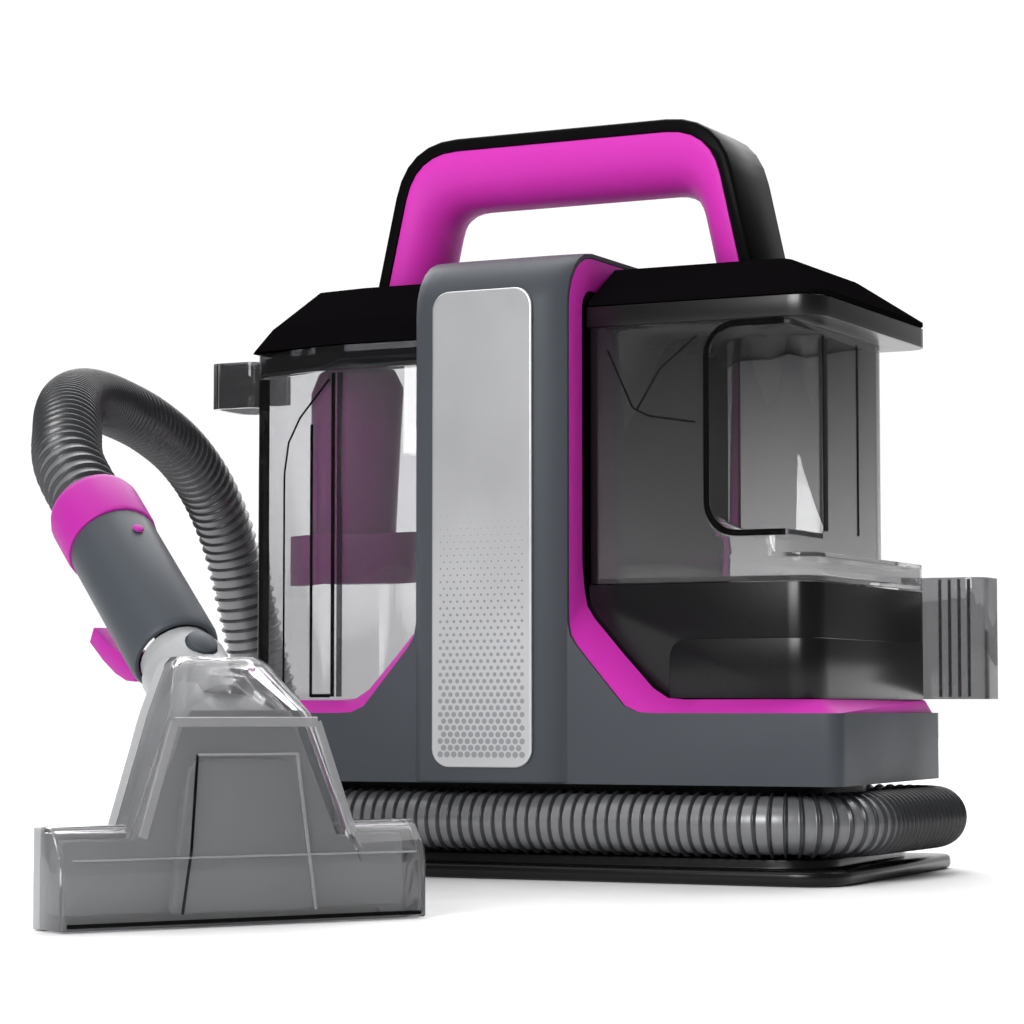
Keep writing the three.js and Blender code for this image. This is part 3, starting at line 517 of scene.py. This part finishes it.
def make_badge_dots(front, low, high, materials):
    """A print of dots that grow towards the foot of the plate, and fade out up the plate."""
    points, faces = [], []
    sides = DOT_SIDES
    rows = int((high.z - low.z) * DOTTED_SHARE / DOT_ROW)
    for row in range(rows):
        z = low.z + 6 + row * DOT_ROW
        radius = DOT_GROWTH * (1 - row / rows) + DOT_SMALLEST
        shift = DOT_PITCH / 2 if row % 2 else 0
        for column in range(-7, 8):
            x = column * DOT_PITCH + shift
            if abs(x) > (high.x - low.x) / 2 - 3:
                continue
            first = len(points)
            for depth in (0.02, -0.12):
                for k in range(sides):
                    angle = 2 * math.pi * k / sides
                    points.append(((x + radius * math.cos(angle)) * MM, (front + depth) * MM,
                                   (z + radius * math.sin(angle)) * MM))
            for k in range(sides):
                j = (k + 1) % sides
                faces.append((first + k, first + j, first + sides + j, first + sides + k))
            faces.append(tuple(first + k for k in range(sides)))
            faces.append(tuple(first + sides + k for k in range(sides))[::-1])
    dots = mesh_piece("badge_dots", points, faces, [materials["silver_dark"]], smooth=False)
    fix_normals(dots)


# ---- raised mouldings on the tanks and the tool holder -------------------------------------------
def strip(name, route, normal, width, thickness, material, body="body"):
    """A flat moulded strip along a route (mm), `width` wide and `thickness` proud along the normal."""
    route = [Vector(p) for p in route]
    normal = Vector(normal).normalized()
    points, faces = [], []
    for k, point in enumerate(route):
        ahead = (route[min(k + 1, len(route) - 1)] - route[max(k - 1, 0)]).normalized()
        side = normal.cross(ahead).normalized() * width / 2
        for across, out in ((-1, 0), (-0.8, 1), (0.8, 1), (1, 0)):
            points.append((point + side * across + normal * thickness * out) * MM)
    for k in range(len(route) - 1):
        for i in range(4):
            j = (i + 1) % 4
            faces.append((4 * k + i, 4 * k + j, 4 * k + 4 + j, 4 * k + 4 + i))
    faces.append((0, 1, 2, 3))
    last = 4 * (len(route) - 1)
    faces.append((last + 3, last + 2, last + 1, last))
    piece = mesh_piece(name, points, faces, [material], body=body, smooth=False)
    fix_normals(piece)
    return piece


TANK_SHOULDER_MM = [(-101.5, -77.9, 244), (-122, -71.7, 226), (-130, -69.3, 214), (-133, -68.4, 198),
                    (-133, -68.4, 92)]
TANK_MARKS_MM = [
    [(51, -78, 250), (64, -78, 222), (72, -78, 218), (96, -78, 214)],
    [(66, -78, 221), (78, -78, 240), (97, -78, 255)],
]
FRONT = (0, -1, 0)
CHAMFER = (-0.28, -0.96, 0)  # out of the slanted front corner of the recovery tank


def upright(x, y, low, high):
    return [(x, y, low), (x, y, high)]


def make_tank_mouldings(materials):
    """Raised lines on the tanks, and the ribs on the tool holder."""
    line, smoke, pale = (materials[kind] for kind in ("smoked_line", "smoked_hook", "smoked_light"))
    tank = "recovery_tank_unit"
    strip("recovery_tank_corner_rib", upright(-99.2, -78.1, 86, 247), FRONT, 2.0, 0.7, line, tank)
    strip("recovery_tank_corner_band", upright(-95.5, -78.1, 86, 247), FRONT, 3.2, 0.5, smoke, tank)
    strip("recovery_tank_side_rib", upright(-113.5, -74.4, 86, 222), CHAMFER, 1.4, 0.8, line, tank)
    strip("recovery_tank_foot_rib", [(-100.5, -78.1, 86.5), (-113.5, -74.4, 86.5)], CHAMFER, 1.8, 0.8,
          line, tank)
    strip("recovery_tank_edge_band", upright(-147.8, -64.0, 79, 247), CHAMFER, 8.0, 0.5, line, tank)
    strip("recovery_tank_shoulder_line", TANK_SHOULDER_MM, CHAMFER, 1.0, 0.5, line, tank)
    for k, x in enumerate((162, 167, 172, 177)):
        strip(f"tool_holder_rib_{k + 1}", upright(x, 80.4, 86, 145), FRONT, 1.6, 1.0, smoke)
    tank = "clean_tank_unit"
    for k, route in enumerate(TANK_MARKS_MM):
        strip(f"clean_tank_mark_{k + 1}", route, FRONT, 0.9, 0.3, pale, tank)
    strip("clean_tank_pocket_rim", pocket_rim(), FRONT, 3.0, 0.5, line, tank)
    for k, (y, width) in enumerate(((-28.5, 6.0), (16.0, 2.2))):
        strip(f"clean_tank_side_bar_{k + 1}", upright(142, y, 164, 258), (1, 0, 0), width, 0.5, line, tank)


def pocket_rim():
    """The border of the finger pocket on the tank's front face, open to the right."""
    left, right, low, high, radius = 101.5, 141, 161.5, 259.5, 15
    steps, face = 8, -78
    points = [(right, face, high)]
    for start, corner_z in ((90, high - radius), (180, low + radius)):
        for k in range(steps + 1):
            angle = math.radians(start + 90 * k / steps)
            points.append((left + radius + radius * math.cos(angle), face,
                           corner_z + radius * math.sin(angle)))
    points.append((right, face, low))
    return points


# ---- raised mouldings on the nozzle --------------------------------------------------------------
NOZZLE_ORIGIN = Vector((53.1, -410.6, 0))
NOZZLE_TURN = Matrix.Rotation(math.radians(60), 3, "Z")


def make_nozzle_frame(materials):
    """The hood's border, its inner panel, the crease over the foot and the foot's lip."""
    normal = NOZZLE_TURN @ Vector((0, -1, 0.08))
    pale, dark = materials["window_edge"], materials["smoked_line"]
    border = [(-44, -7.9, 33), (-30, -4.9, 75), (30, -4.9, 75), (44, -7.9, 33)]
    panel = [(-28, -8.1, 5), (-24.5, -8.1, 28), (-21, -5.7, 63), (21, -5.7, 63), (24.5, -8.1, 28),
             (28, -8.1, 5)]
    for name, points, width, material in (
        ("border_left", border[:2], 3.8, pale), ("border_top", border[1:3], 3.8, pale),
        ("border_right", border[2:], 3.8, pale), ("panel_left", panel[:3], 1.0, dark),
        ("panel_top", panel[2:4], 1.2, pale), ("panel_right", panel[3:], 1.2, pale),
        ("crease", [(-72, -8.1, 25.5), (72, -8.1, 25.5)], 0.9, pale),
        ("lip", [(-74, -8.1, 2.2), (74, -8.1, 2.2)], 1.6, dark),
    ):
        route = [NOZZLE_ORIGIN + NOZZLE_TURN @ Vector(point) for point in points]
        strip(f"nozzle_{name}", route, normal, width, 0.6, material)


make_camera()
MATERIALS = make_materials()
make_hose(MATERIALS)
make_stage()
finish_kept_nodes(MATERIALS)
make_badge(MATERIALS)
make_tank_mouldings(MATERIALS)
make_nozzle_frame(MATERIALS)
